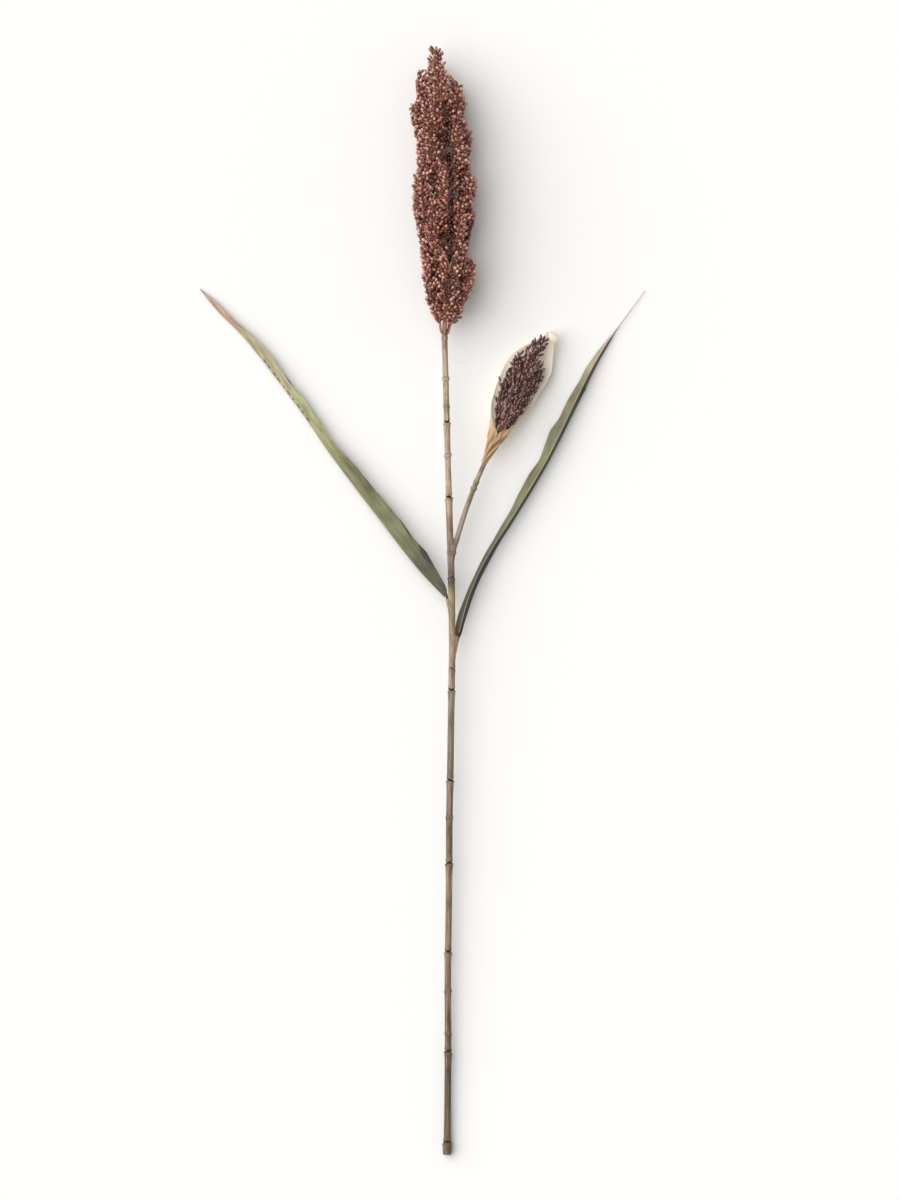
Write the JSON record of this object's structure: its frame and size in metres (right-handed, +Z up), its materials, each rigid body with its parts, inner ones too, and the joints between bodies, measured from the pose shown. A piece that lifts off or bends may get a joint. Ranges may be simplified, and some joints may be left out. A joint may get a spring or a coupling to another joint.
{
  "type": "sorghum seed head on its cut cane",
  "caption": "Cut sorghum spray lying on a surface: a jointed cane with a dense reddish-brown seed head, folded leaves and a side shoot with a small seed head in its spathe.",
  "frame": {"origin": "on the surface that the spray lies on, under the middle of its footprint", "axes": "+Y along the cane, from its cut end to the top of the seed head; +X across the spray, towards the side shoot; +Z up from the surface"},
  "size_m": [0.483, 1.2002, 0.0676],
  "materials": {
    "cane": "satin, weathered straw with dark joint rings",
    "shoot": "satin straw",
    "rachis": "matt, fibrous",
    "grain": "satin grain coat",
    "small_grain": "satin grain coat",
    "spathe": "papery, slightly translucent",
    "leaf": "dry leaf, ribbed along its length"
  },
  "bodies": {
    "root": {"cane": "cane", "head_rachis": "rachis", "head_branch_01": "grain", "head_branch_02": "grain", "head_branch_03": "grain", "head_branch_04": "grain", "head_branch_05": "grain", "head_branch_06": "grain", "head_branch_07": "grain", "head_branch_08": "grain", "head_branch_09": "grain", "head_branch_10": "grain", "head_branch_11": "grain", "head_branch_12": "grain", "head_branch_13": "grain", "head_branch_14": "grain", "head_branch_15": "grain", "head_branch_16": "grain", "head_branch_17": "grain", "head_branch_18": "grain", "head_branch_19": "grain", "head_branch_20": "grain", "head_branch_21": "grain", "head_branch_22": "grain", "head_branch_23": "grain", "head_branch_24": "grain", "head_branch_25": "grain", "head_branch_26": "grain", "head_branch_27": "grain", "head_branch_28": "grain", "head_branch_29": "grain", "head_branch_30": "grain", "head_branch_top": "grain", "side_shoot": "shoot", "small_rachis": "rachis", "small_branch_01": "small_grain", "small_branch_02": "small_grain", "small_branch_03": "small_grain", "small_branch_04": "small_grain", "small_branch_05": "small_grain", "small_branch_06": "small_grain", "small_branch_07": "small_grain", "small_branch_08": "small_grain", "small_branch_09": "small_grain", "small_branch_10": "small_grain", "small_branch_11": "small_grain", "small_branch_12": "small_grain", "small_branch_13": "small_grain", "small_branch_14": "small_grain", "small_branch_top": "small_grain", "spathe": "spathe", "leaf_left": "leaf", "leaf_right": "leaf"}
  },
  "joints": []
}
